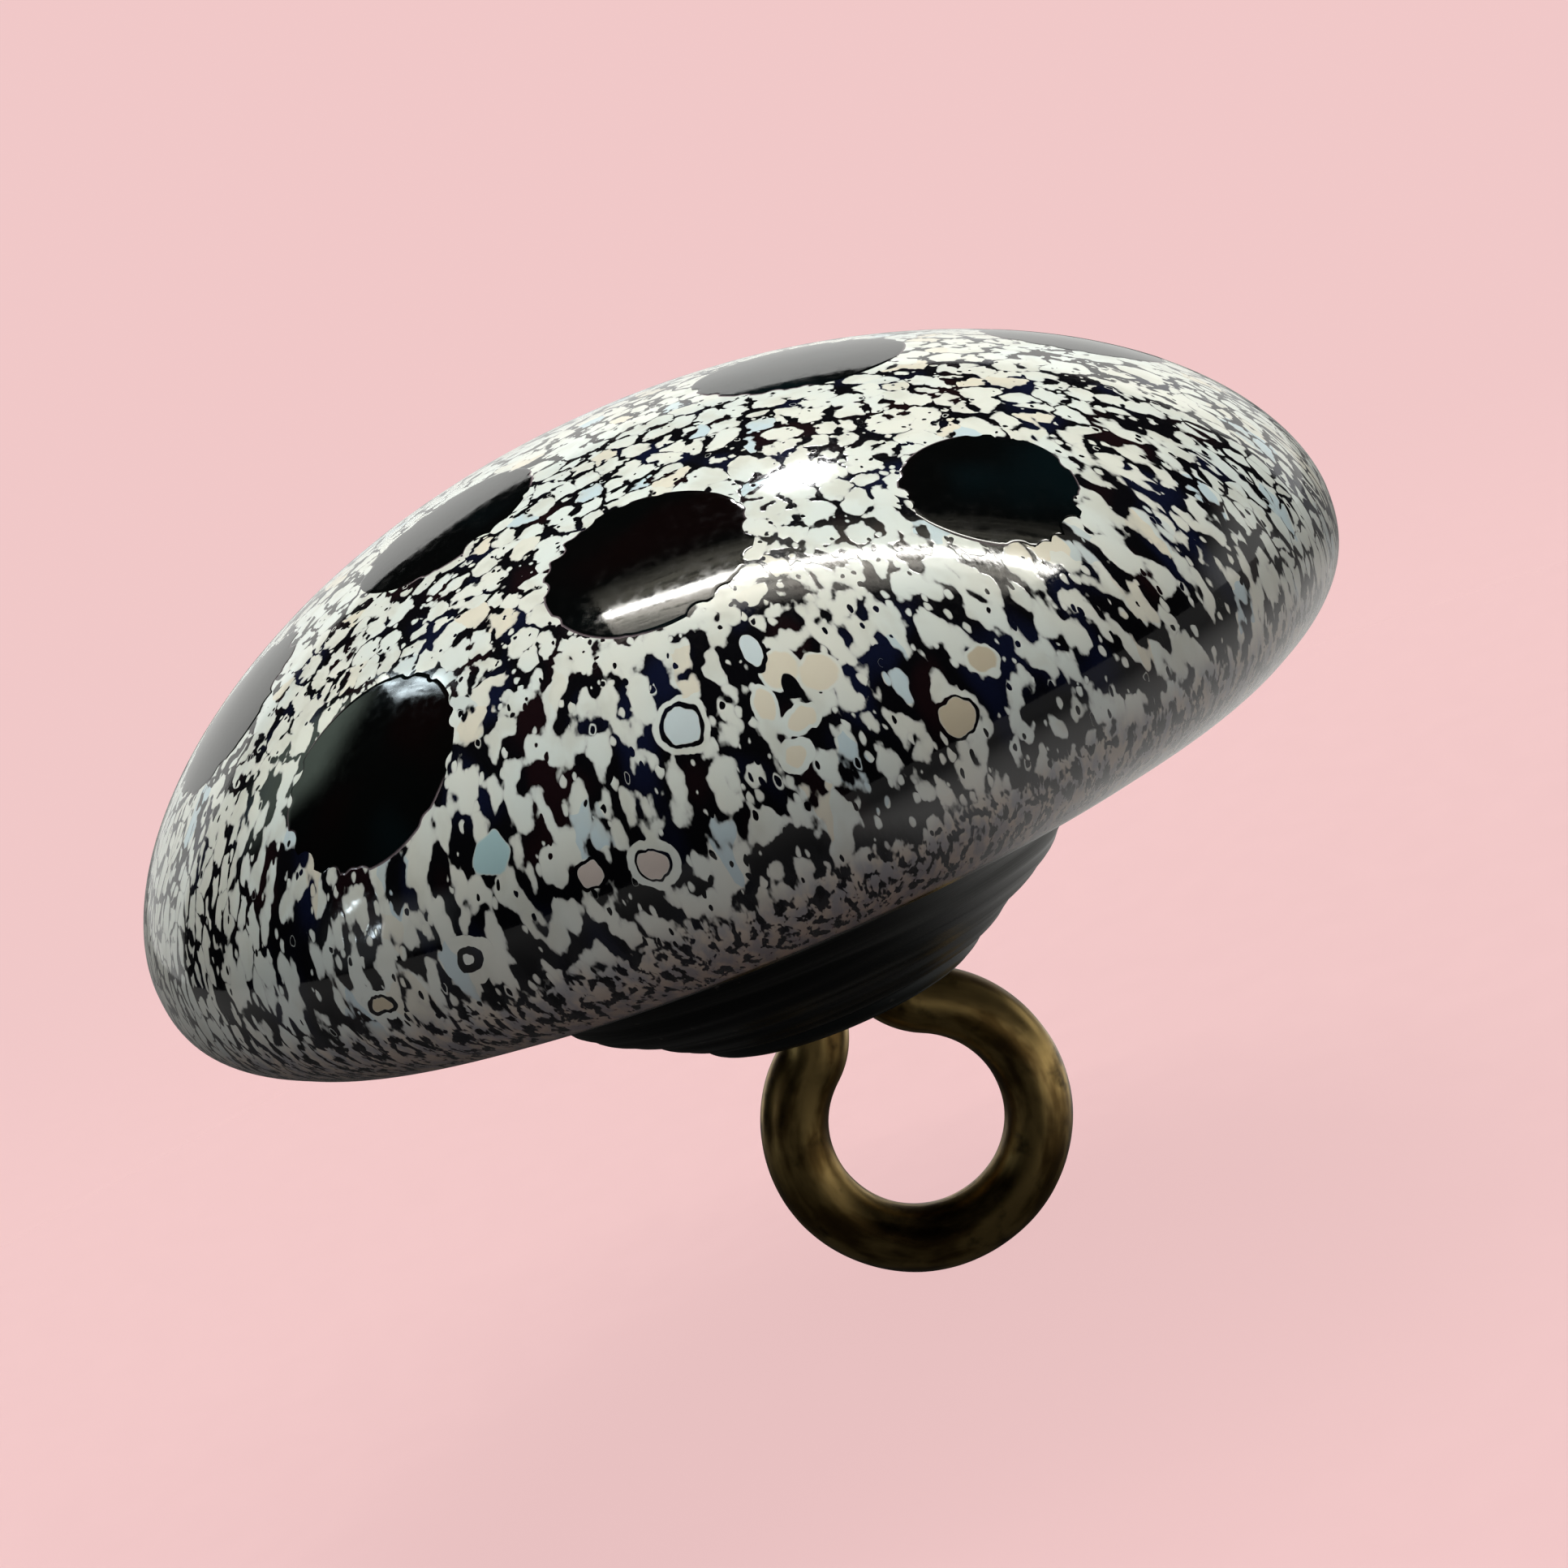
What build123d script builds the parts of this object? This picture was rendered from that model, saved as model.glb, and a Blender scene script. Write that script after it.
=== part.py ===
from build123d import *
import math
import os

os.makedirs("parts", exist_ok=True)

# Domed glass shank button, in millimetres.
# +Z is the button's axis and points out of the crown. The eye of the shank stands in the XZ plane.
# The pieces are drawn about the middle of the head's widest circle, the rim.
# They are written with the origin on the axis, level with the lowest point of the shank.

# ---- head ----
head_radius = 11.5
dome_height = 6.25
dome_power_out = 2.0        # the dome's outline is a superellipse: 2 and 2 make a true ellipse
dome_power_up = 1.76        # under 2 draws the crown up, so the shoulders fall away sooner
under_depth = 2.67
under_radius = 6.55         # where the head's underside turns into the back
under_power_out = 2.34      # over 2 makes the underside fuller than an ellipse
under_power_down = 2.56

# ---- spatter skin over the head ----
skin_thickness = 0.35
skin_wrap = 1.60            # the skin reaches this far in from the rim on the underside

# ---- polka dots: angle down the dome's outline, 0 at the crown and 90 at the rim, then the
# turn about the axis in degrees, then the diameter ----
dots = [
    (43.2, -91.7, 3.72),
    (56.2, -55.6, 3.10),
    (58.4, -125.9, 3.75),
    (22.9, -136.2, 3.75),
    (20.6, -28.6, 4.00),
    (46.0, -164.3, 3.60),
    (46.7, -3.4, 3.60),
    (21.5, 85.0, 3.60),
    (57.0, 37.0, 3.30),
    (48.5, 73.0, 3.60),
    (57.5, 111.0, 3.40),
    (47.0, 150.0, 3.70),
]
punch_above = 1.0           # each dot's punch starts this far outside the skin
punch_below = 1.9           # and ends this far inside it, past the dot's lowest edge

# ---- swirl back: where each turn of the trail ends, as radius and drop from the head's underside ----
turn_ends = [(4.95, 1.25), (3.80, 1.95), (2.95, 2.45), (2.45, 2.79)]
back_margin = 0.15          # the head's underside shows this much around the back
back_offset = -0.13         # the back was wound on a little to one side
flare_hollow = 0.12         # the first stretch curves in
turn_bulge = 0.08           # the other turns stand out of the straight line between their ends
back_crown = 0.10           # the middle of the back's end is this much lower than its edge

# ---- wire shank ----
wire_diameter = 1.30
eye_diameter = 3.25
leg_gap = 0.10              # between the two legs where they go into the glass
neck_radius = 1.20          # bend of the wire's middle line from each leg into the eye
neck_cover = 0.21           # the legs part this far inside the back's end
eye_offset = -0.18          # the legs stand this far to one side of the axis
eye_lean = 7.0              # degrees that the eye leans away from the axis
foot_cover = 0.25           # glass between the higher foot and the head's underside
anchor_radius = 1.00        # bend of each leg's foot
anchor_turn = 70.0          # degrees that each foot turns outward
foot_length = 0.60

skin_edge_radius = head_radius - skin_wrap
back_top_radius = under_radius - back_margin
back_height = turn_ends[-1][1]
wire_radius = wire_diameter / 2
loop_radius = (eye_diameter + wire_diameter) / 2
leg_offset = wire_radius + leg_gap / 2
eye_drop = math.sqrt((loop_radius + neck_radius) ** 2 - (leg_offset + neck_radius) ** 2)
lean = math.radians(eye_lean)
turn = math.radians(anchor_turn)
foot_reach = leg_offset + anchor_radius * (1 - math.cos(turn)) + foot_length * math.sin(turn)
foot_climb = anchor_radius * math.sin(turn) + foot_length * math.cos(turn)
room_above_neck = back_height - neck_cover - foot_cover - wire_radius
leg_rise = (room_above_neck - foot_reach * math.sin(lean)) / math.cos(lean) - foot_climb
neck_depth = under_depth + back_height - neck_cover
rim_height = neck_depth + eye_drop * math.cos(lean) + loop_radius + wire_radius

OUTLINE_STEPS = 8


def superellipse(across, along, power_across, power_along, angle):
    """A point of a superellipse quarter: angle 0 lies along the second axis, a right angle across it."""
    return (
        across * math.sin(angle) ** (2 / power_across),
        along * max(0.0, math.cos(angle)) ** (2 / power_along),
    )


def dome_point(radius, height, angle):
    return superellipse(radius, height, dome_power_out, dome_power_up, angle)


def under_point(radius, depth, angle):
    """A point of the underside: angle 0 is the rim and a right angle is the inner end."""
    out, down = superellipse(
        radius - under_radius, depth, under_power_out, under_power_down, math.pi / 2 - angle
    )
    return under_radius + out, -down


def revolved(outline):
    """A closed outline in the XZ plane, turned once about the axis."""
    return revolve(Plane.XZ * make_face(outline), Axis.Z)


def head_blank(inset):
    """The whole head with its surface moved in by inset."""
    radius = head_radius - inset
    height = dome_height - inset
    depth = under_depth - inset
    steps = [math.pi / 2 * i / OUTLINE_STEPS for i in range(OUTLINE_STEPS + 1)]
    top_points = [dome_point(radius, height, a) for a in steps]
    low_points = [under_point(radius, depth, a) for a in steps]
    top = Spline(*top_points, tangents=[(1, 0), (0, -1)])
    low = Spline(*low_points, tangents=[(0, -1), (-1, 0)])
    floor = Line((under_radius, -depth), (0, -depth))
    axis = Line((0, -depth), (0, height))
    return revolved([top, low, floor, axis])


def skin_blank():
    """The skin before the dots are set in: the head's outer layer, without the middle of the underside."""
    layer = head_blank(0.0) - head_blank(skin_thickness)
    bare = Pos(0, 0, -under_depth) * Cylinder(skin_edge_radius, 2 * under_depth)
    return layer - bare


def dot_punch(down, about, diameter):
    """A round punch square to the dome at a dot's middle."""
    angle = math.radians(down)
    small = 0.001
    out_a, up_a = dome_point(head_radius, dome_height, angle - small)
    out_b, up_b = dome_point(head_radius, dome_height, angle + small)
    out, up = dome_point(head_radius, dome_height, angle)
    slope = math.atan2(out_b - out_a, up_a - up_b)
    facing = Plane(origin=(out, 0, up), z_dir=(math.cos(slope), 0, math.sin(slope)))
    middle = (punch_above - punch_below) / 2
    punch = facing * Pos(0, 0, middle) * Cylinder(diameter / 2, punch_above + punch_below)
    return Rot(0, 0, about) * punch


def arc_between(start, end, bulge):
    """An arc whose middle stands out of its chord by bulge, away from the axis and downward."""
    run = (end[0] - start[0], end[1] - start[1])
    length = math.hypot(*run)
    away = (-run[1] / length, run[0] / length)
    middle = ((start[0] + end[0]) / 2 + bulge * away[0], (start[1] + end[1]) / 2 + bulge * away[1])
    return ThreePointArc(start, middle, end)


def back_blank():
    """The wound trail of glass behind the head, solid."""
    ends = [(back_top_radius, -under_depth)]
    ends += [(radius, -under_depth - drop) for radius, drop in turn_ends]
    bulges = [-flare_hollow] + [turn_bulge] * (len(turn_ends) - 1)
    side = [arc_between(a, b, bulge) for a, b, bulge in zip(ends, ends[1:], bulges)]
    end_radius, end_level = ends[-1]
    lowest = end_level - back_crown
    crown_radius = (end_radius**2 + back_crown**2) / (2 * back_crown)
    half_out = end_radius / 2
    half_level = lowest + crown_radius - math.sqrt(crown_radius**2 - half_out**2)
    end = ThreePointArc(ends[-1], (half_out, half_level), (0, lowest))
    axis = Line((0, lowest), (0, -under_depth))
    top = Line((0, -under_depth), ends[0])
    return Pos(back_offset, 0, 0) * revolved(side + [end, axis, top])


def wire_half_path(side):
    """One half of the wire's middle line, from the foot in the glass down to the eye's lowest point.

    side is 1 or -1. The path's own origin is midway between the legs, where they part.
    """
    bend_middle = (leg_offset + anchor_radius, leg_rise)
    bend_end = (
        bend_middle[0] - anchor_radius * math.cos(turn),
        bend_middle[1] + anchor_radius * math.sin(turn),
    )
    bend_half = (
        bend_middle[0] - anchor_radius * math.cos(turn / 2),
        bend_middle[1] + anchor_radius * math.sin(turn / 2),
    )
    foot_end = (foot_reach, leg_rise + foot_climb)
    spread = math.atan2(leg_offset + neck_radius, eye_drop)
    neck_middle = leg_offset + neck_radius
    neck_half_angle = (math.pi / 2 - spread) / 2
    neck_half = (
        neck_middle - neck_radius * math.cos(neck_half_angle),
        -neck_radius * math.sin(neck_half_angle),
    )
    neck_end = (neck_middle - neck_radius * math.sin(spread), -neck_radius * math.cos(spread))
    loop_half_angle = (math.pi + spread) / 2
    loop_half = (
        loop_radius * math.sin(loop_half_angle),
        -eye_drop + loop_radius * math.cos(loop_half_angle),
    )
    lowest = (0, -eye_drop - loop_radius)

    def at(point):
        return (side * point[0], point[1])

    return [
        Line(at(foot_end), at(bend_end)),
        ThreePointArc(at(bend_end), at(bend_half), at((leg_offset, leg_rise))),
        Line(at((leg_offset, leg_rise)), at((leg_offset, 0))),
        ThreePointArc(at((leg_offset, 0)), at(neck_half), at(neck_end)),
        ThreePointArc(at(neck_end), at(loop_half), at(lowest)),
    ]


def wire_shank():
    """The bent wire: an eye below the glass and two legs that turn outward inside it."""
    bend_plane = Plane(
        origin=(eye_offset, 0, -neck_depth),
        x_dir=(math.cos(lean), 0, math.sin(lean)),
        z_dir=(0, -1, 0),
    )
    path = bend_plane * Wire(wire_half_path(1) + wire_half_path(-1))
    section = Plane(origin=path @ 0, z_dir=path % 0) * Circle(wire_radius)
    return sweep(section, path=path)


def write(piece, node):
    """Writes one piece with the origin level with the lowest point of the shank."""
    placed = Pos(0, 0, rim_height) * piece
    export_step(placed, f"parts/{node}.step")


wire = wire_shank()
skin = skin_blank()
core = head_blank(0.0) - skin
punches = [dot_punch(*dot) for dot in dots]

write(core, "glass_core")
for number, punch in enumerate(punches, start=1):
    write(skin & punch, f"polka_dot_{number:02d}")
for punch in punches:
    skin = skin - punch
write(skin, "spatter_skin")
write(back_blank() - wire, "swirl_back")
write(wire, "wire_shank")
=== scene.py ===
import math
import random

import bpy
from mathutils import Matrix, Vector, noise


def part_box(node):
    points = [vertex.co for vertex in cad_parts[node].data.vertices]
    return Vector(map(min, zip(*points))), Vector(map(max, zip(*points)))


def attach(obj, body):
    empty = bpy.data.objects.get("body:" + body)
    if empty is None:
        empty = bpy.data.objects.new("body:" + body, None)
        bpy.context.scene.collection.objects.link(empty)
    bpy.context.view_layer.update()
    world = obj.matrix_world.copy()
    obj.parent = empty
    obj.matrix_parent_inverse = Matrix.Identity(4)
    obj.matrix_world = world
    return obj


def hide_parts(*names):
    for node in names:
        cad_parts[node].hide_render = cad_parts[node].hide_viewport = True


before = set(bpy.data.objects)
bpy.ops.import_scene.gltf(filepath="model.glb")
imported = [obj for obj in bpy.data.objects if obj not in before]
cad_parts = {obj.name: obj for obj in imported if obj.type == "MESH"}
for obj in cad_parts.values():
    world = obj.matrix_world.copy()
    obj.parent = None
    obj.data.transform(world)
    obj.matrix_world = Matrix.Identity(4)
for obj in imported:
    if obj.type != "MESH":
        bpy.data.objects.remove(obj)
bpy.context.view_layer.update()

MM = 0.001

# ---------------------------------------------------------------- shape of the button, in metres
skin_low, skin_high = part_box("spatter_skin")
back_low, back_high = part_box("swirl_back")
wire_low, wire_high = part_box("wire_shank")

HEAD_RADIUS = (skin_high.x - skin_low.x) / 2
UNDER_DEPTH = 2.67 * MM
RIM_LEVEL = back_high.z + UNDER_DEPTH
DOME_HEIGHT = skin_high.z - RIM_LEVEL
DOME_POWER_UP = 1.76
UNDER_RADIUS = 6.55 * MM
UNDER_POWER_OUT = 2.34
UNDER_POWER_DOWN = 2.56
SKIN_WRAP = 1.60 * MM
SKIN_EDGE_RADIUS = HEAD_RADIUS - SKIN_WRAP
SKIN_THICKNESS = 0.32 * MM
CORE_MARGIN = 0.02 * MM  # the core reaches this far into the skin and lies this far inside the CAD
RIM_CENTRE = Vector((0, 0, RIM_LEVEL))

# dots: angle down the dome, turn about the axis, diameter in mm
DOTS = [
    (43.2, -91.7, 3.72),
    (56.2, -55.6, 3.10),
    (58.4, -125.9, 3.75),
    (22.9, -136.2, 3.75),
    (20.6, -28.6, 4.00),
    (46.0, -164.3, 3.60),
    (46.7, -3.4, 3.60),
    (21.5, 85.0, 3.60),
    (57.0, 37.0, 3.30),
    (48.5, 73.0, 3.60),
    (57.5, 111.0, 3.40),
    (47.0, 150.0, 3.70),
]


def smooth_step(low, high, value):
    share = min(1.0, max(0.0, (value - low) / (high - low)))
    return share * share * (3 - 2 * share)


def dome_point(angle, inset=0.0):
    """Radius and height above the rim of a point of the dome, angle 0 at the crown."""
    radius = (HEAD_RADIUS - inset) * math.sin(angle)
    height = (DOME_HEIGHT - inset) * max(0.0, math.cos(angle)) ** (2 / DOME_POWER_UP)
    return radius, height


def under_point(angle, inset=0.0):
    """Radius and height of a point of the underside, angle 0 at the rim."""
    reach = HEAD_RADIUS - inset - UNDER_RADIUS
    radius = UNDER_RADIUS + reach * max(0.0, math.cos(angle)) ** (2 / UNDER_POWER_OUT)
    height = -(UNDER_DEPTH - inset) * math.sin(angle) ** (2 / UNDER_POWER_DOWN)
    return radius, height


def head_outline(inset, end_radius):
    """Points from the crown over the rim to end_radius on the underside."""
    count = 900
    points = [dome_point(math.pi / 2 * i / count, inset) for i in range(count + 1)]
    for i in range(1, count + 1):
        point = under_point(math.pi / 2 * i / count, inset)
        if point[0] < end_radius:
            last = points[-1]
            share = (last[0] - end_radius) / (last[0] - point[0])
            points.append((end_radius, last[1] + share * (point[1] - last[1])))
            break
        points.append(point)
    return points


def evenly(points, count):
    """The same line as count + 1 even points, each with its distance from the start."""
    run = [0.0]
    for a, b in zip(points, points[1:]):
        run.append(run[-1] + math.dist(a, b))
    made = []
    j = 0
    for i in range(count + 1):
        goal = run[-1] * i / count
        while j < len(run) - 2 and run[j + 1] < goal:
            j += 1
        span = run[j + 1] - run[j]
        share = (goal - run[j]) / span if span else 0.0
        a, b = points[j], points[j + 1]
        made.append((a[0] + share * (b[0] - a[0]), a[1] + share * (b[1] - a[1]), goal))
    return made


WAVE_DEPTH = 0.030 * MM
RIPPLE_DEPTH = 0.006 * MM


def hollow(place):
    """How far the hand-rounded glass lies inside the true dome at a place."""
    wide = noise.noise(place * 260) * 0.5 + 0.5
    fine = noise.noise(place * 900) * 0.5 + 0.5
    return WAVE_DEPTH * wide + RIPPLE_DEPTH * fine


def new_object(name, verts, faces, smooth=True):
    mesh = bpy.data.meshes.new(name)
    mesh.from_pydata(verts, [], faces)
    mesh.validate()
    mesh.update()
    if smooth:
        mesh.shade_smooth()
    obj = bpy.data.objects.new(name, mesh)
    bpy.context.scene.collection.objects.link(obj)
    return obj


def ring_faces(rings, segments):
    """Faces of a closed mesh made of a first point, rings of points and a last point."""
    faces = [(0, 1 + k, 1 + (k + 1) % segments) for k in range(segments)]
    for i in range(rings - 1):
        first = 1 + i * segments
        second = first + segments
        for k in range(segments):
            n = (k + 1) % segments
            faces.append((first + k, second + k, second + n, first + n))
    last = 1 + rings * segments
    ring = last - segments
    faces += [(ring + (k + 1) % segments, ring + k, last) for k in range(segments)]
    return faces


def revolved(name, profile, segments, place):
    """A closed mesh from a profile whose first and last points lie on the axis.

    place(point, turn) gives the 3-D position of a profile point at a turn about the axis.
    Returns the object and, for each vertex, the index of its profile point and its turn.
    """
    verts = [place(profile[0], 0.0)]
    source = [(0, 0.0)]
    for index, point in enumerate(profile[1:-1], start=1):
        for k in range(segments):
            turn = 2 * math.pi * k / segments
            verts.append(place(point, turn))
            source.append((index, turn))
    verts.append(place(profile[-1], 0.0))
    source.append((len(profile) - 1, 0.0))
    return new_object(name, verts, ring_faces(len(profile) - 2, segments)), source


def add_float(obj, name, values):
    attribute = obj.data.attributes.new(name, "FLOAT", "POINT")
    attribute.data.foreach_set("value", values)


def add_vector(obj, name, values):
    attribute = obj.data.attributes.new(name, "FLOAT_VECTOR", "POINT")
    attribute.data.foreach_set("vector", [x for value in values for x in value])


# ---------------------------------------------------------------- node helpers
def new_material(name):
    material = bpy.data.materials.new(name)
    material.use_nodes = True
    material.node_tree.nodes.clear()
    return material


def node(tree, kind, plugs=None, **settings):
    made = tree.nodes.new(kind)
    for key, value in settings.items():
        setattr(made, key, value)
    for socket, value in (plugs or {}).items():
        if isinstance(value, bpy.types.NodeSocket):
            tree.links.new(value, made.inputs[socket])
        else:
            made.inputs[socket].default_value = value
    return made


def calc(tree, operation, a, b=0.0, c=0.0, clamp=False):
    plugs = {0: a, 1: b}
    if operation in ("MULTIPLY_ADD", "SMOOTH_MIN", "SMOOTH_MAX"):
        plugs[2] = c
    return node(tree, "ShaderNodeMath", plugs, operation=operation, use_clamp=clamp).outputs[0]


def vector_calc(tree, operation, a, b=(0, 0, 0), scale=None):
    plugs = {0: a}
    if scale is None:
        plugs[1] = b
    else:
        plugs["Scale"] = scale
    made = node(tree, "ShaderNodeVectorMath", plugs, operation=operation)
    return made.outputs["Value" if operation in ("LENGTH", "DOT_PRODUCT") else "Vector"]


def ramp(tree, value, low, high, to_low=0.0, to_high=1.0):
    """A soft step from to_low to to_high as value goes from low to high."""
    plugs = {"Value": value, "From Min": low, "From Max": high, "To Min": to_low, "To Max": to_high}
    made = node(tree, "ShaderNodeMapRange", plugs, interpolation_type="SMOOTHSTEP")
    return made.outputs["Result"]


def blend_value(tree, factor, a, b):
    made = node(tree, "ShaderNodeMix", {0: factor, 2: a, 3: b}, data_type="FLOAT")
    return made.outputs[0]


def blend_colour(tree, factor, a, b):
    made = node(tree, "ShaderNodeMix", {0: factor, 6: a, 7: b}, data_type="RGBA")
    return made.outputs[2]


def noise_value(tree, vector, scale, detail=2.0, roughness=0.5):
    plugs = {"Vector": vector, "Scale": scale, "Detail": detail, "Roughness": roughness}
    return node(tree, "ShaderNodeTexNoise", plugs).outputs[0]


def noise_shift(tree, vector, scale, amount):
    """vector moved about by noise of the given scale."""
    made = node(tree, "ShaderNodeTexNoise", {"Vector": vector, "Scale": scale, "Detail": 1.0})
    centred = vector_calc(tree, "SUBTRACT", made.outputs[1], (0.5, 0.5, 0.5))
    scaled = vector_calc(tree, "SCALE", centred, scale=amount)
    return vector_calc(tree, "ADD", vector, scaled)


def voronoi(tree, vector, scale, feature, **plugs):
    inputs = {"Vector": vector, "Scale": scale}
    inputs.update(plugs)
    return node(tree, "ShaderNodeTexVoronoi", inputs, feature=feature, voronoi_dimensions="2D")


def sway(tree, value, amount, base):
    """base moved up and down by a noise value, whose middle is 0.5."""
    return calc(tree, "MULTIPLY_ADD", calc(tree, "SUBTRACT", value, 0.5), amount, base)


def stored(tree, name, output="Fac"):
    """A value that the mesh carries at each vertex."""
    return node(tree, "ShaderNodeAttribute", attribute_name=name).outputs[output]


def object_place(tree):
    return node(tree, "ShaderNodeTexCoord").outputs["Object"]


def finished(material, shader):
    """The material, with this shader as its surface."""
    tree = material.node_tree
    output = node(tree, "ShaderNodeOutputMaterial")
    tree.links.new(shader.outputs[0], output.inputs[0])
    return material


def rgb(red, green, blue):
    return (red, green, blue, 1.0)


# ---------------------------------------------------------------- spatter glass
def melt_place(run):
    """How far from the middle a point of the head lies in the spatter's own flat coordinates, in mm.

    run is the distance in mm from the crown. The molten spatter ran down the sides, so the
    coordinates go more slowly there and the pattern comes out drawn down the sides.
    """
    slow = 0.0
    steps = 40
    for i in range(steps):
        at = run * (i + 0.5) / steps
        slow += (1 - 0.46 * smooth_step(7.5, 12.0, at)) * run / steps
    return slow


PALE = rgb(0.60, 0.70, 0.73)
CYAN = rgb(0.36, 0.58, 0.62)
CREAM = rgb(0.74, 0.67, 0.52)
TAN = rgb(0.56, 0.47, 0.32)
ROSE = rgb(0.60, 0.50, 0.45)
SNOW = rgb(0.76, 0.79, 0.74)

# Larger beads in the spatter: turn about the axis, run from the crown in mm, half-lengths down
# and across in mm, colour, width of the black ring round the bead and of the pale ring outside it
# as shares of the bead. A gap below 0 makes a black hole instead.
BEADS = [
    (-93.9, 11.88, 0.19, 0.30, PALE, 0.22, 0.30),
    (-112.6, 12.76, 0.18, 0.36, CYAN, 0.0, 0.0),
    (-84.5, 11.65, 0.19, 0.31, CREAM, 0.0, 0.15),
    (-81.6, 11.98, 0.17, 0.31, CREAM, 0.0, 0.15),
    (-86.9, 12.15, 0.16, 0.16, CREAM, 0.0, 0.3),
    (-84.6, 12.60, 0.10, 0.24, CREAM, 0.0, 0.4),
    (-84.2, 12.02, 0.13, 0.13, CREAM, -1.0, 0.0),
    (-99.9, 13.78, 0.13, 0.26, ROSE, 0.16, 0.50),
    (-69.1, 12.97, 0.13, 0.24, TAN, 0.0, 0.2),
    (-85.8, 11.09, 0.20, 0.15, PALE, 0.35, 0.0),
    (-117.4, 14.22, 0.05, 0.12, SNOW, 1.30, 2.30),
    (-86.3, 13.08, 0.09, 0.17, CREAM, 0.0, 0.7),
    (-104.9, 13.56, 0.10, 0.22, ROSE, 0.25, 0.0),
    (-73.3, 13.65, 0.15, 0.31, TAN, 0.18, 0.0),
    (-127.4, 14.55, 0.08, 0.24, TAN, 0.4, 0.6),
    (20.0, 12.4, 0.18, 0.30, CREAM, 0.4, 0.5),
    (64.0, 12.9, 0.16, 0.30, CYAN, 0.0, 0.3),
    (97.0, 12.1, 0.18, 0.28, PALE, 0.4, 0.6),
    (133.0, 13.0, 0.15, 0.30, TAN, 0.3, 0.4),
    (172.0, 12.6, 0.16, 0.30, PALE, 0.35, 0.5),
]


def add_bead(tree, place, level, milk, bead):
    """Sets one bead into the pattern. Returns the new level and colour."""
    about, run, down, across, colour, gap, halo = bead
    flat = melt_place(run)
    turn = math.radians(about)
    middle = (flat * math.cos(turn), flat * math.sin(turn), 0)
    from_middle = vector_calc(tree, "SUBTRACT", place, middle)
    along = (math.cos(turn) / down, math.sin(turn) / down, 0)
    aside = (-math.sin(turn) / across, math.cos(turn) / across, 0)
    u = vector_calc(tree, "DOT_PRODUCT", from_middle, along)
    v = vector_calc(tree, "DOT_PRODUCT", from_middle, aside)
    joined = node(tree, "ShaderNodeCombineXYZ", {0: u, 1: v})
    far = vector_calc(tree, "LENGTH", joined.outputs[0])
    if gap < 0:
        hole = ramp(tree, far, 0.85, 1.15, 1.0, 0.0)
        return blend_value(tree, hole, level, -0.10), milk
    soft = 0.09 * (1 + gap * 0.1)
    value = ramp(tree, far, 1 - soft, 1 + soft, 0.10, -0.10 if gap else 0.10)
    if gap and halo:
        outer = ramp(tree, far, 1 + gap - soft, 1 + gap + soft, 0.0, 0.20)
        value = calc(tree, "ADD", value, outer)
    edge = 1 + gap + halo
    inside = ramp(tree, far, edge - soft, edge + soft, 1.0, 0.0)
    level = blend_value(tree, inside, level, value)
    tinted = ramp(tree, far, 1 - soft, 1 + soft, 0.85, 0.0)
    return level, blend_colour(tree, tinted, milk, colour)


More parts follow.
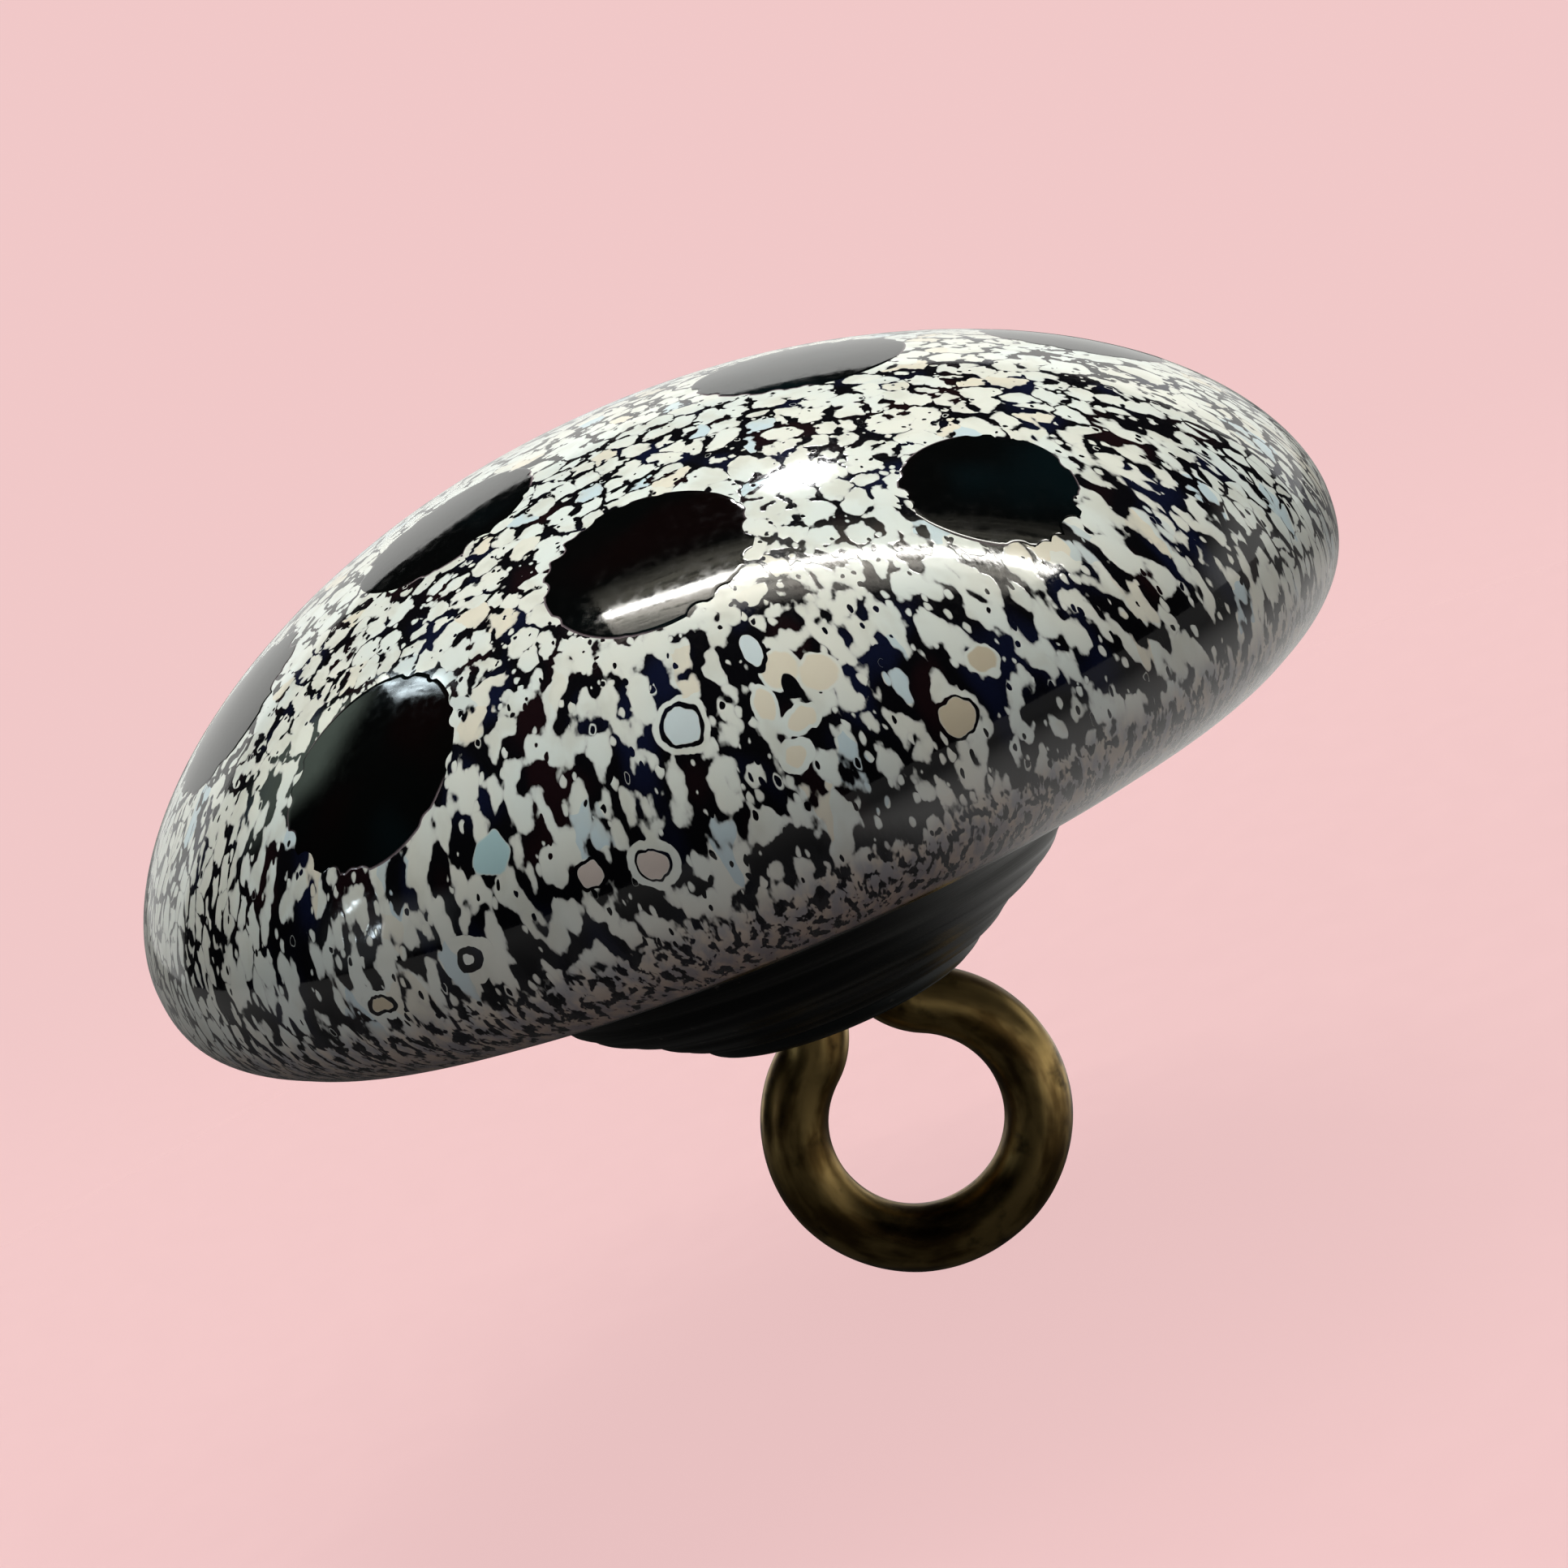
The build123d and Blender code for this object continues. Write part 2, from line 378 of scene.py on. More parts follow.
def spatter_glass():
    material = new_material("spatter_glass_look")
    tree = material.node_tree
    melt = stored(tree, "melt", "Vector")
    broad = stored(tree, "broad")
    grain = stored(tree, "grain")

    bent = noise_shift(tree, melt, 0.9, 0.45)
    bent = noise_shift(tree, bent, 3.3, 0.24)
    bent = noise_shift(tree, bent, 8.0, 0.05)

    # top: tight pebbles with black lines and small voids between them
    spread = noise_value(tree, melt, 0.95)
    breaks = noise_value(tree, melt, 2.3, 2.0)
    breaks = sway(tree, spread, 0.5, breaks)
    line = ramp(tree, breaks, 0.34, 0.68, -0.08, 0.21)
    edge = voronoi(tree, bent, 1.95, "DISTANCE_TO_EDGE").outputs["Distance"]
    cell = voronoi(tree, bent, 1.95, "F1")
    cell_parts = node(tree, "ShaderNodeSeparateColor", {0: cell.outputs["Color"]})
    roundness = ramp(tree, cell_parts.outputs[1], 0.0, 1.0, 0.52, 0.80)
    rounding = calc(tree, "SUBTRACT", roundness, cell.outputs["Distance"])
    pebble = calc(tree, "SMOOTH_MIN", calc(tree, "SUBTRACT", edge, line), rounding, 0.08)
    gone = ramp(tree, cell_parts.outputs[0], 0.94, 0.95)
    pebble = calc(tree, "SUBTRACT", pebble, calc(tree, "MULTIPLY", gone, 0.30))

    # sides: blobs drawn down the sides, that merge into branches round open black
    blob = voronoi(tree, bent, 2.3, "SMOOTH_F1", Smoothness=0.16).outputs["Distance"]
    stroke = noise_value(tree, noise_shift(tree, melt, 3.4, 0.16), 3.1, 1.0, 0.4)
    open_black = noise_value(tree, melt, 0.75)
    size = ramp(tree, open_black, 0.36, 0.64, 0.51, 0.31)
    branch = sway(tree, stroke, 1.7, size)
    branch = calc(tree, "MULTIPLY", calc(tree, "SUBTRACT", branch, blob), 0.45)

    # a little of each everywhere, more branches where broad is high
    choose = noise_value(tree, melt, 1.1)
    choose = sway(tree, choose, 1.7, broad)
    which = ramp(tree, choose, 0.50, 0.66)
    level = blend_value(tree, which, pebble, branch)

    # the left and right ends of the head: finer strokes
    thin_edge = voronoi(tree, bent, 3.1, "DISTANCE_TO_EDGE").outputs["Distance"]
    thin_line = ramp(tree, noise_value(tree, melt, 1.6), 0.34, 0.66, 0.00, 0.23)
    thin = calc(tree, "SUBTRACT", thin_edge, thin_line)
    side = stored(tree, "side")
    side = sway(tree, spread, 0.9, side)
    level = blend_value(tree, ramp(tree, side, 0.40, 0.60), level, thin)

    # wavy edges everywhere
    ragged = noise_value(tree, melt, 6.0, 2.0, 0.6)
    level = sway(tree, ragged, 0.16, level)

    # pale glass crowds round the dots
    collar = stored(tree, "collar")
    level = calc(tree, "MULTIPLY_ADD", collar, 0.07, level)

    # small specks and pinholes
    speck = voronoi(tree, noise_shift(tree, melt, 6.0, 0.10), 5.4, "F1")
    speck_parts = node(tree, "ShaderNodeSeparateColor", {0: speck.outputs["Color"]})
    speck_size = ramp(tree, speck_parts.outputs[1], 0.0, 1.0, 0.20, 0.46)
    speck_level = calc(tree, "SUBTRACT", speck_size, speck.outputs["Distance"])
    speck_on = ramp(tree, speck_parts.outputs[0], 0.62, 0.64)
    speck_level = calc(tree, "MULTIPLY", speck_level, calc(tree, "MULTIPLY", speck_on, 0.5))
    hole_on = ramp(tree, speck_parts.outputs[2], 0.84, 0.86)
    hole = calc(tree, "SUBTRACT", 0.26, speck.outputs["Distance"])
    hole = calc(tree, "MULTIPLY", calc(tree, "MAXIMUM", hole, 0.0), hole_on)
    level = calc(tree, "MAXIMUM", level, calc(tree, "SUBTRACT", speck_level, 0.045))
    level = calc(tree, "SUBTRACT", level, calc(tree, "MULTIPLY", hole, 2.0))

    # the lower edge: fine grain
    lean = vector_calc(tree, "ADD", bent, vector_calc(tree, "SCALE", melt, scale=0.5))
    fine = noise_value(tree, lean, 3.4, 2.0, 0.6)
    fine_level = calc(tree, "MULTIPLY", calc(tree, "SUBTRACT", fine, 0.47), 0.8)
    lip = stored(tree, "lip")
    fine_level = calc(tree, "MULTIPLY_ADD", lip, 0.12, fine_level)
    patchy = calc(tree, "MULTIPLY_ADD", calc(tree, "SUBTRACT", choose, broad), 0.45, grain)
    low_edge = grain
    grain = ramp(tree, patchy, 0.30, 0.75)
    level = blend_value(tree, grain, level, fine_level)

    # colours of the pale glass
    tone = noise_value(tree, melt, 0.42)
    milk = blend_colour(
        tree, ramp(tree, tone, 0.35, 0.65), rgb(0.70, 0.76, 0.72), rgb(0.75, 0.76, 0.68)
    )
    cream = ramp(tree, cell_parts.outputs[1], 0.93, 0.96, 0.0, 0.7)
    milk = blend_colour(tree, cream, milk, CREAM)
    sky = ramp(tree, cell_parts.outputs[2], 0.94, 0.97, 0.0, 0.8)
    milk = blend_colour(tree, sky, milk, rgb(0.50, 0.64, 0.70))
    cloud = noise_value(tree, bent, 1.3, 3.0)
    milk = blend_colour(
        tree, ramp(tree, cloud, 0.46, 0.70, 0.0, 0.55), milk, rgb(0.57, 0.57, 0.49)
    )
    place = noise_shift(tree, noise_shift(tree, melt, 2.2, 0.16), 6.0, 0.07)
    for bead in BEADS:
        level, milk = add_bead(tree, place, level, milk, bead)
    white = ramp(tree, level, -0.022, 0.032)
    depth = ramp(tree, level, 0.0, 0.09, 0.35, 0.0)
    milk = blend_colour(tree, depth, milk, rgb(0.42, 0.42, 0.42))
    grain_tone = noise_value(tree, melt, 3.0, 3.0)
    grain_colour = blend_colour(
        tree, ramp(tree, grain_tone, 0.38, 0.62), rgb(0.36, 0.38, 0.41), rgb(0.64, 0.60, 0.51)
    )
    milk = blend_colour(tree, calc(tree, "MULTIPLY", grain, 0.85), milk, grain_colour)

    # colours of the black glass
    deep = noise_value(tree, melt, 0.8, 1.0)
    black = blend_colour(
        tree, ramp(tree, deep, 0.52, 0.70), rgb(0.003, 0.003, 0.004), rgb(0.005, 0.007, 0.022)
    )
    black = blend_colour(tree, ramp(tree, deep, 0.45, 0.32), black, rgb(0.009, 0.004, 0.005))
    ash = calc(tree, "MULTIPLY", low_edge, ramp(tree, grain_tone, 0.36, 0.60, 0.25, 0.95))
    black = blend_colour(tree, ash, black, rgb(0.042, 0.044, 0.050))
    colour = blend_colour(tree, white, black, milk)

    # surface
    scuff = noise_value(tree, melt, 14.0, 3.0)
    shine = ramp(tree, scuff, 0.35, 0.75, 0.045, 0.13)
    shine = blend_value(tree, calc(tree, "MULTIPLY", grain, 0.6), shine, 0.32)
    relief = calc(tree, "MULTIPLY_ADD", white, 0.5, calc(tree, "MULTIPLY", scuff, 0.25))
    bump = node(tree, "ShaderNodeBump", {"Height": relief, "Strength": 0.10, "Distance": 0.00002})
    surface = node(
        tree,
        "ShaderNodeBsdfPrincipled",
        {"Base Color": colour, "Roughness": shine, "Normal": bump.outputs[0], "IOR": 1.52},
    )
    return finished(material, surface)


def dot_middle(down, about):
    """The middle of a dot on the dome, from its two angles in degrees."""
    r, z = dome_point(math.radians(down))
    turn = math.radians(about)
    return Vector((r * math.cos(turn), r * math.sin(turn), RIM_LEVEL + z))


DOT_MIDDLES = [(dot_middle(down, about), diameter) for down, about, diameter in DOTS]


def spatter_skin():
    outer = evenly(head_outline(0.0, SKIN_EDGE_RADIUS), 150)
    inner = evenly(head_outline(SKIN_THICKNESS, SKIN_EDGE_RADIUS), 24)
    lip_run = outer[-1][2]
    profile = [(r, z, run, True) for r, z, run in outer]
    profile += [(r, z, run, False) for r, z, run in reversed(inner)]

    def place(point, turn):
        r, z, run, outside = point
        here = Vector((r * math.cos(turn), r * math.sin(turn), RIM_LEVEL + z))
        if not outside:
            return here
        # inward, by the slope of the head at this point
        inward = Vector((-r * math.cos(turn), -r * math.sin(turn), -z * 1.4)).normalized()
        lip = smooth_step(lip_run - 0.5 * MM, lip_run - 0.1 * MM, run)
        return here + inward * hollow(here) * (1 - lip)

    obj, source = revolved("spatter_skin_glass", profile, 360, place)
    melt = []
    broad = []
    grain = []
    lip = []
    side = []
    collar = []
    for index, turn in source:
        run = profile[index][2] / MM
        flat = melt_place(run)
        melt.append((flat * math.cos(turn), flat * math.sin(turn), 0.0))
        # more branches on the side that faces the camera
        front = 0.5 + 0.5 * math.cos(turn + math.radians(100))
        share = 0.42 + 0.58 * front**1.5
        broad.append(smooth_step(8.0, 11.5, run) * share)
        grain.append(smooth_step(lip_run / MM - 3.0, lip_run / MM - 1.0, run))
        lip.append(smooth_step(lip_run / MM - 0.45, lip_run / MM - 0.15, run))
        end = abs(math.cos(turn)) ** 3
        side.append(smooth_step(8.5, 12.5, run) * end)
        r, z = profile[index][:2]
        spot = Vector((r * math.cos(turn), r * math.sin(turn), RIM_LEVEL + z))
        gap = min((spot - middle).length / MM - size / 2 for middle, size in DOT_MIDDLES)
        collar.append(math.exp(-((gap - 0.05) / 0.38) ** 2) if profile[index][3] else 0.0)
    add_vector(obj, "melt", melt)
    add_float(obj, "broad", broad)
    add_float(obj, "grain", grain)
    add_float(obj, "lip", lip)
    add_float(obj, "side", side)
    add_float(obj, "collar", collar)

    # the outside fills the map and the hidden inside takes a corner of it
    uv = obj.data.uv_layers.new(name="OFBake")
    for loop in obj.data.loops:
        index, turn = source[loop.vertex_index]
        r, z, run, outside = profile[index]
        reach = run / lip_run
        if outside:
            spot = (0.5 + 0.495 * reach * math.cos(turn), 0.5 + 0.495 * reach * math.sin(turn))
        else:
            spot = (0.07 + 0.06 * reach * math.cos(turn), 0.07 + 0.06 * reach * math.sin(turn))
        uv.data[loop.index].uv = spot
    return obj


# ---------------------------------------------------------------- polka dots
def dome_gap(place):
    """Below 0 inside the dome and above 0 outside it."""
    r = math.hypot(place.x, place.y) / HEAD_RADIUS
    z = max(0.0, place.z - RIM_LEVEL) / DOME_HEIGHT
    return r * r + z**DOME_POWER_UP - 1


def dome_normal(place):
    r = math.hypot(place.x, place.y)
    z = max(1e-6, place.z - RIM_LEVEL)
    out = 2 * r / HEAD_RADIUS**2
    up = DOME_POWER_UP * (z / DOME_HEIGHT) ** (DOME_POWER_UP - 1) / DOME_HEIGHT
    flat = Vector((place.x, place.y, 0)).normalized() if r else Vector((1, 0, 0))
    return (flat * out + Vector((0, 0, up))).normalized()


DOT_LIFT = 0.006 * MM  # the face of a dot stands this far over the skin
DOT_EDGE_DROP = 0.006 * MM  # and its edge goes this far under it
DOT_SINK = 0.20 * MM
DOT_RINGS = 16
BURIED_SHARES = (0.985, 0.55)  # rings of a dot's hidden underside, as shares of its edge


def dot_outline(rng, radius, segments):
    """Distance from the dot's middle to its edge for each step round it, scalloped by pebbles."""
    wave_a = rng.uniform(0, 2 * math.pi)
    wave_b = rng.uniform(0, 2 * math.pi)
    edge = []
    for k in range(segments):
        turn = 2 * math.pi * k / segments
        wobble = 0.020 * math.sin(2 * turn + wave_a) + 0.016 * math.sin(3 * turn + wave_b)
        edge.append(radius * (0.985 + wobble))
    bites = []
    turn = rng.uniform(0, 0.3)
    while turn < 2 * math.pi:
        size = rng.uniform(0.10, 0.30) * MM
        stand = radius * rng.uniform(0.99, 1.04) + size * rng.uniform(0.15, 0.85)
        bites.append((stand * math.cos(turn), stand * math.sin(turn), size))
        turn += rng.uniform(0.10, 0.42)
    for k in range(segments):
        turn = 2 * math.pi * k / segments
        x, y = math.cos(turn), math.sin(turn)
        for bx, by, size in bites:
            along = bx * x + by * y
            aside2 = bx * bx + by * by - along * along
            if along > 0 and aside2 < size * size:
                edge[k] = min(edge[k], along - math.sqrt(size * size - aside2))
    return edge


def polka_dot(number, down, about, diameter):
    rng = random.Random(40 + number)
    turn = math.radians(about)
    centre = dot_middle(down, about)
    facing = dome_normal(centre)
    along = Vector((-math.sin(turn), math.cos(turn), 0))
    upward = facing.cross(along)
    segments = 220
    edge = dot_outline(rng, diameter / 2 * MM, segments)
    shares = [1 - (1 - i / DOT_RINGS) ** 1.6 for i in range(1, DOT_RINGS + 1)]

    def drop_on(u, v, height):
        start = centre + along * u + upward * v
        low, high = -3 * MM, 1 * MM
        for _ in range(24):
            middle = (low + high) / 2
            if dome_gap(start + facing * middle) > 0:
                high = middle
            else:
                low = middle
        spot = start + facing * low
        return spot + dome_normal(spot) * (height - hollow(spot))

    verts = [drop_on(0, 0, DOT_LIFT)]
    rim = [0.0]
    for share in shares:
        fall = smooth_step(0.975, 1.0, share)
        for k in range(segments):
            a = 2 * math.pi * k / segments
            reach = edge[k] * share
            height = DOT_LIFT - fall * (DOT_LIFT + DOT_EDGE_DROP)
            verts.append(drop_on(reach * math.cos(a), reach * math.sin(a), height))
            rim.append(share)
    for share in BURIED_SHARES:
        for k in range(segments):
            a = 2 * math.pi * k / segments
            reach = edge[k] * share
            verts.append(drop_on(reach * math.cos(a), reach * math.sin(a), -DOT_SINK))
            rim.append(share)
    verts.append(drop_on(0, 0, -DOT_SINK))
    rim.append(0.0)
    faces = ring_faces(len(shares) + len(BURIED_SHARES), segments)
    obj = new_object(f"polka_dot_{number:02d}_glass", verts, faces)
    add_float(obj, "rim", rim)
    return obj


def dot_glass():
    material = new_material("dot_glass_look")
    tree = material.node_tree
    place = object_place(tree)
    rim = stored(tree, "rim")
    tint = noise_value(tree, place, 330.0, 2.0)
    colour = blend_colour(
        tree, ramp(tree, tint, 0.50, 0.72), rgb(0.0015, 0.0018, 0.0018), rgb(0.002, 0.005, 0.006)
    )
    colour = blend_colour(tree, ramp(tree, tint, 0.46, 0.30), colour, rgb(0.003, 0.0015, 0.0015))
    speck = node(
        tree, "ShaderNodeTexVoronoi", {"Vector": place, "Scale": 1500.0}, feature="F1"
    )
    parts = node(tree, "ShaderNodeSeparateColor", {0: speck.outputs["Color"]})
    chosen = ramp(tree, parts.outputs[0], 0.985, 0.99)
    round_speck = ramp(tree, speck.outputs["Distance"], 0.22, 0.14)
    spotted = calc(tree, "MULTIPLY", chosen, round_speck)
    colour = blend_colour(tree, spotted, colour, rgb(0.30, 0.34, 0.33))
    patch = noise_value(tree, place, 420.0, 1.0)
    halo = calc(tree, "MULTIPLY", ramp(tree, rim, 0.955, 0.99), ramp(tree, patch, 0.50, 0.60))
    colour = blend_colour(tree, calc(tree, "MULTIPLY", halo, 0.7), colour, rgb(0.42, 0.33, 0.36))
    scuff = noise_value(tree, place, 5200.0, 3.0)
    shine = ramp(tree, scuff, 0.35, 0.75, 0.035, 0.11)
    bump = node(tree, "ShaderNodeBump", {"Height": scuff, "Strength": 0.05, "Distance": 0.00001})
    surface = node(
        tree,
        "ShaderNodeBsdfPrincipled",
        {"Base Color": colour, "Roughness": shine, "Normal": bump.outputs[0], "IOR": 1.52},
    )
    return finished(material, surface)


# ---------------------------------------------------------------- black glass under the skin
TOOL_RING_PITCH = 0.62 * MM
TOOL_RING_DEPTH = 0.018 * MM
UNDER_ROUGHNESS = 0.02 * MM


def glass_core():
    """The head under the skin. Its bare underside carries faint tool rings."""
    inset = SKIN_THICKNESS - CORE_MARGIN
    buried = evenly(head_outline(inset, SKIN_EDGE_RADIUS - 0.05 * MM), 40)
    bare = []
    count = 60
    for i in range(count + 1):
        angle = math.pi / 2 * i / count
        point = under_point(angle, CORE_MARGIN)
        if point[0] <= SKIN_EDGE_RADIUS + CORE_MARGIN:
            bare.append(point)
    bare = evenly(bare + [(0.05 * MM, bare[-1][1])], 90)
    profile = [(r, z, False) for r, z, run in buried[:-2]]
    profile += [(r, z, True) for r, z, run in bare]
    profile.append((0.0, bare[-1][1], False))

    def place(point, turn):
        r, z, outside = point
        lift = 0.0
        if outside:
            coil = r / TOOL_RING_PITCH + turn / (2 * math.pi)
            lift = (0.5 + 0.5 * math.sin(2 * math.pi * coil)) * TOOL_RING_DEPTH
            rough = noise.noise(Vector((r * 900, math.cos(turn), math.sin(turn))))
            lift += (0.5 + 0.5 * rough) * UNDER_ROUGHNESS
        return Vector((r * math.cos(turn), r * math.sin(turn), RIM_LEVEL + z + lift))

    obj, _ = revolved("glass_core_body", profile, 240, place)
    return obj


def trail_glass(name, dull, ring_scale, gloss):
    """Black glass with marks that run round the axis in its roughness and bumps; the same marks are
    painted into its colour as grey streaks of sheen.
    """
    material = new_material(name)
    tree = material.node_tree
    place = object_place(tree)
    parts = node(tree, "ShaderNodeSeparateXYZ", {0: place})
    across = calc(tree, "MULTIPLY", parts.outputs[0], parts.outputs[0])
    across = calc(tree, "MULTIPLY_ADD", parts.outputs[1], parts.outputs[1], across)
    radius = calc(tree, "SQRT", across)
    flow = node(tree, "ShaderNodeCombineXYZ", {0: radius, 1: parts.outputs[2], 2: 0.0}).outputs[0]
    slow = vector_calc(tree, "SCALE", place, scale=0.06)
    flow = vector_calc(tree, "ADD", flow, slow)
    rings = noise_value(tree, flow, ring_scale, 4.0, 0.62)
    broad_rings = noise_value(tree, flow, ring_scale * 0.22, 2.0)
    # painted sheen: the rings and broad rings lighten the black into grey streaks along the trail's
    # ridges
    colour = blend_colour(
        tree, ramp(tree, rings, 0.50, 0.78), rgb(0.005, 0.006, 0.006), rgb(0.050, 0.055, 0.052)
    )
    colour = blend_colour(
        tree, ramp(tree, broad_rings, 0.52, 0.70, 0.0, 0.6), colour, rgb(0.016, 0.022, 0.022)
    )
    dust = noise_value(tree, place, 3800.0, 2.0)
    colour = blend_colour(
        tree, ramp(tree, dust, 0.70, 0.78, 0.0, 0.5), colour, rgb(0.16, 0.16, 0.14)
    )
    shine = ramp(tree, rings, 0.30, 0.72, dull, dull + 0.16)
    relief = calc(tree, "MULTIPLY_ADD", broad_rings, 1.4, rings)
    bump = node(tree, "ShaderNodeBump", {"Height": relief, "Strength": 0.35, "Distance": 0.00012})
    surface = node(
        tree,
        "ShaderNodeBsdfPrincipled",
        {
            "Base Color": colour,
            "Roughness": shine,
            "Normal": bump.outputs[0],
            "IOR": 1.50,
            "Specular IOR Level": gloss,
        },
    )
    return finished(material, surface)


# ---------------------------------------------------------------- wound back
# where each turn of the trail ends, as radius and drop in mm
TURN_ENDS = [(4.95, 1.25), (3.80, 1.95), (2.95, 2.45), (2.45, 2.79)]
FLARE_HOLLOW = 0.12 * MM
TURN_BULGE = 0.08 * MM
BACK_CLIMB = 0.10 * MM  # the back's hidden top goes this far into the head
TRAIL_PITCH = 0.55 * MM
GROOVE_DEPTH = 0.055 * MM
TRAIL_INSET = 0.02 * MM
LUMP_DEPTH = 0.07 * MM
LEG_DRAW = 0.10 * MM  # glass drawn up round each leg of the wire
LEG_DRAW_REACH = 0.85 * MM


def swirl_back(legs):
    """The trail of glass wound on behind the head.

    Its profile runs from the hidden top down the side and over the end. Each point carries its run
    down the side, or -1 on the end.
    """
    centre_x = (back_low.x + back_high.x) / 2
    top_radius = (back_high.x - back_low.x) / 2
    ends = [(top_radius, 0.0)] + [(r * MM, -drop * MM) for r, drop in TURN_ENDS]
    side = []
    for number, (a, b) in enumerate(zip(ends, ends[1:])):
        bulge = -FLARE_HOLLOW if number == 0 else TURN_BULGE
        length = math.dist(a, b)
        away = (-(b[1] - a[1]) / length, (b[0] - a[0]) / length)
        steps = 26 if number == 0 else 14
        for i in range(steps):
            share = i / steps
            rise = bulge * 4 * share * (1 - share)
            side.append(
                (
                    a[0] + share * (b[0] - a[0]) + away[0] * rise,
                    a[1] + share * (b[1] - a[1]) + away[1] * rise,
                )
            )
    side.append(ends[-1])
    end_radius, end_level = ends[-1]
    lowest = back_low.z - back_high.z
    cap = []
    steps = 22
    for i in range(1, steps):
        share = 1 - i / steps
        cap.append((end_radius * share, end_level + (lowest - end_level) * (1 - share * share)))
    buried = [(top_radius * i / 12, BACK_CLIMB) for i in range(12)]
    profile = [(r, z, 0.0) for r, z in buried]
    run = 0.0
    for i, point in enumerate(side):
        if i:
            run += math.dist(side[i - 1], point)
        profile.append((point[0], point[1], run))
    profile += [(r, z, -1.0) for r, z in cap]
    profile.append((0.0, lowest, -1.0))
    whole = run

    def place(point, turn):
        r, z, at = point
        inward = 0.0
        if at > 0:
            coil = at / TRAIL_PITCH + turn / (2 * math.pi)
            ridge = abs((coil % 1.0) - 0.5) * 2
            fade = smooth_step(0.0, 0.3 * MM, at) * smooth_step(0.0, 0.2 * MM, whole - at)
            inward = (GROOVE_DEPTH * (1 - ridge) ** 2 + TRAIL_INSET) * fade
            lumps = noise.noise(Vector((math.cos(turn) * 2, math.sin(turn) * 2, at * 800)))
            inward += (0.5 + 0.5 * lumps) * LUMP_DEPTH * fade
        x, y = (r - inward) * math.cos(turn), (r - inward) * math.sin(turn)
        spot = Vector((centre_x + x, y, back_high.z + z))
        if at < 0:
            for leg in legs:
                near = math.hypot(spot.x - leg.x, spot.y - leg.y)
                spot.z -= LEG_DRAW * math.exp(-((near / LEG_DRAW_REACH) ** 4))
        return spot

    obj, _ = revolved("swirl_back_trail", profile, 220, place)
    return obj


# ---------------------------------------------------------------- wire shank
WIRE_RADIUS = 0.65 * MM
DENT_DEPTH = 0.018 * MM
PIT_DEPTH = 0.004 * MM
LOOP_RADIUS = 2.275 * MM
LEG_OFFSET = 0.70 * MM
NECK_RADIUS = 1.20 * MM
EYE_LEAN = math.radians(7.0)
ANCHOR_RADIUS = 1.00 * MM
ANCHOR_TURN = math.radians(70.0)
FOOT_LENGTH = 0.60 * MM
LEG_RISE = 0.62 * MM
# from the place where the legs part down to the middle of the eye
SPREAD_DROP = math.sqrt((LOOP_RADIUS + NECK_RADIUS) ** 2 - (LEG_OFFSET + NECK_RADIUS) ** 2)
eye_middle = Vector(
    ((wire_low.x + wire_high.x) / 2, 0, wire_low.z + LOOP_RADIUS + WIRE_RADIUS)
)
bend_across = Vector((math.cos(EYE_LEAN), 0, math.sin(EYE_LEAN)))
bend_up = Vector((-math.sin(EYE_LEAN), 0, math.cos(EYE_LEAN)))
bend_origin = eye_middle + bend_up * SPREAD_DROP


def wire_line():
    """The wire's middle line in its bend plane, from one foot round the eye to the other foot."""
    spread = math.atan2(LEG_OFFSET + NECK_RADIUS, SPREAD_DROP)
    start = (LEG_OFFSET + ANCHOR_RADIUS, LEG_RISE)
    turned = (
        start[0] - ANCHOR_RADIUS * math.cos(ANCHOR_TURN),
        start[1] + ANCHOR_RADIUS * math.sin(ANCHOR_TURN),
    )
    foot = (
        turned[0] + FOOT_LENGTH * math.sin(ANCHOR_TURN),
        turned[1] + FOOT_LENGTH * math.cos(ANCHOR_TURN),
    )
    half = [foot]
    for i in range(13):
        a = ANCHOR_TURN * (1 - i / 12)
        half.append((start[0] - ANCHOR_RADIUS * math.cos(a), start[1] + ANCHOR_RADIUS * math.sin(a)))
    half.append((LEG_OFFSET, LEG_RISE / 2))
    neck_middle = LEG_OFFSET + NECK_RADIUS
    for i in range(13):
        a = (math.pi / 2 - spread) * i / 12
        half.append((neck_middle - NECK_RADIUS * math.cos(a), -NECK_RADIUS * math.sin(a)))
    for i in range(1, 73):
        a = spread + (math.pi - spread) * i / 72
        half.append((LOOP_RADIUS * math.sin(a), -SPREAD_DROP + LOOP_RADIUS * math.cos(a)))
    other = [(-x, y) for x, y in reversed(half[:-1])]
    return half + other


def wire_shank():
    """The bent wire, with small dents. along carries the run and the way round it, in mm."""
    line = evenly(wire_line(), 300)
    around = 40
    verts = []
    along = []
    middles = [bend_origin + bend_across * x + bend_up * y for x, y, run in line]
    count = len(middles)
    side = Vector((0, 1, 0))
    for i, middle in enumerate(middles):
        ahead = (middles[min(i + 1, count - 1)] - middles[max(i - 1, 0)]).normalized()
        out = side.cross(ahead).normalized()
        for k in range(around):
            a = 2 * math.pi * k / around
            way = side * math.sin(a) + out * math.cos(a)
            dent = 0.5 + 0.5 * noise.noise((middle + way * WIRE_RADIUS) * 700)
            fine = 0.5 + 0.5 * noise.noise((middle + way * WIRE_RADIUS) * 2600)
            verts.append(middle + way * (WIRE_RADIUS - DENT_DEPTH * dent - PIT_DEPTH * fine))
            along.append((line[i][2] / MM, a * WIRE_RADIUS / MM, 0.0))
    faces = []
    for i in range(count - 1):
        for k in range(around):
            n = (k + 1) % around
            a = i * around
            b = a + around
            faces.append((a + k, a + n, b + n, b + k))
    faces.append(tuple(reversed(range(around))))
    faces.append(tuple((count - 1) * around + k for k in range(around)))
    obj = new_object("wire_shank_brass", verts, faces)
    add_vector(obj, "along", along)
    return obj


